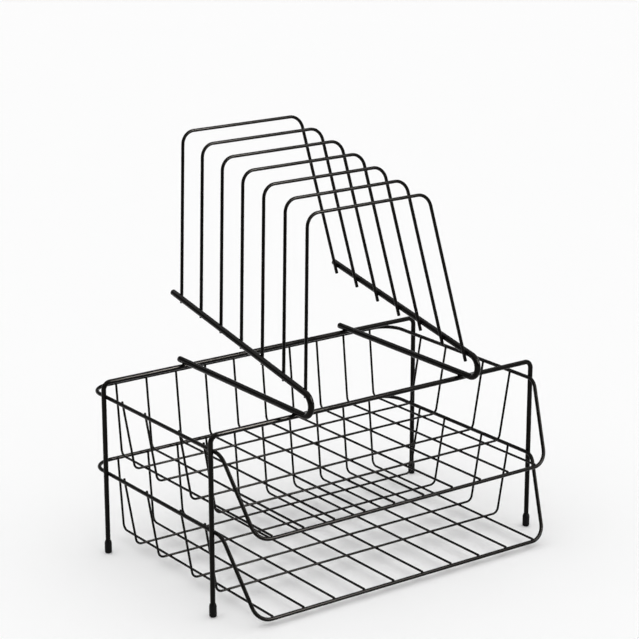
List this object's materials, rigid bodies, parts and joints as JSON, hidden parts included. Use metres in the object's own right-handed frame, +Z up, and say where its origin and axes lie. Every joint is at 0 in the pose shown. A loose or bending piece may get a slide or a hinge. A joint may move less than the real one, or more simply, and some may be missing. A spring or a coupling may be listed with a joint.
{
  "type": "wire letter tray with step sorter",
  "caption": "Stacked side-load letter trays of welded black wire on a wire stand, with an inclined wire step sorter on top for upright folders.",
  "frame": {"origin": "on the ground under the middle of the object's box, half way between the legs", "axes": "+Z up, +Y from the low front edge to the back, +X to the right seen from the front"},
  "size_m": [0.3544, 0.2534, 0.3688],
  "materials": {
    "wire_coating": "black satin-gloss powder coat on steel wire",
    "foot_cap": "soft black vinyl, dull"
  },
  "bodies": {
    "root": {"front_frame": "wire_coating", "rear_frame": "wire_coating", "foot_cap_front_left": "foot_cap", "foot_cap_front_right": "foot_cap", "foot_cap_rear_left": "foot_cap", "foot_cap_rear_right": "foot_cap", "upper_rim": "wire_coating", "lower_rim": "wire_coating", "upper_deck_wire_1": "wire_coating", "upper_deck_wire_2": "wire_coating", "upper_deck_wire_3": "wire_coating", "upper_deck_wire_4": "wire_coating", "upper_deck_wire_5": "wire_coating", "upper_deck_wire_6": "wire_coating", "upper_deck_wire_7": "wire_coating", "upper_deck_wire_8": "wire_coating", "upper_deck_wire_9": "wire_coating", "upper_deck_wire_10": "wire_coating", "lower_deck_wire_1": "wire_coating", "lower_deck_wire_2": "wire_coating", "lower_deck_wire_3": "wire_coating", "lower_deck_wire_4": "wire_coating", "lower_deck_wire_5": "wire_coating", "lower_deck_wire_6": "wire_coating", "lower_deck_wire_7": "wire_coating", "lower_deck_wire_8": "wire_coating", "lower_deck_wire_9": "wire_coating", "lower_deck_wire_10": "wire_coating", "upper_cross_wire_1": "wire_coating", "upper_cross_wire_2": "wire_coating", "upper_cross_wire_3": "wire_coating", "upper_cross_wire_4": "wire_coating", "lower_cross_wire_1": "wire_coating", "lower_cross_wire_2": "wire_coating", "lower_cross_wire_3": "wire_coating", "lower_cross_wire_4": "wire_coating", "left_rail": "wire_coating", "right_rail": "wire_coating", "divider_1": "wire_coating", "divider_2": "wire_coating", "divider_3": "wire_coating", "divider_4": "wire_coating", "divider_5": "wire_coating", "divider_6": "wire_coating", "divider_7": "wire_coating"}
  },
  "joints": []
}
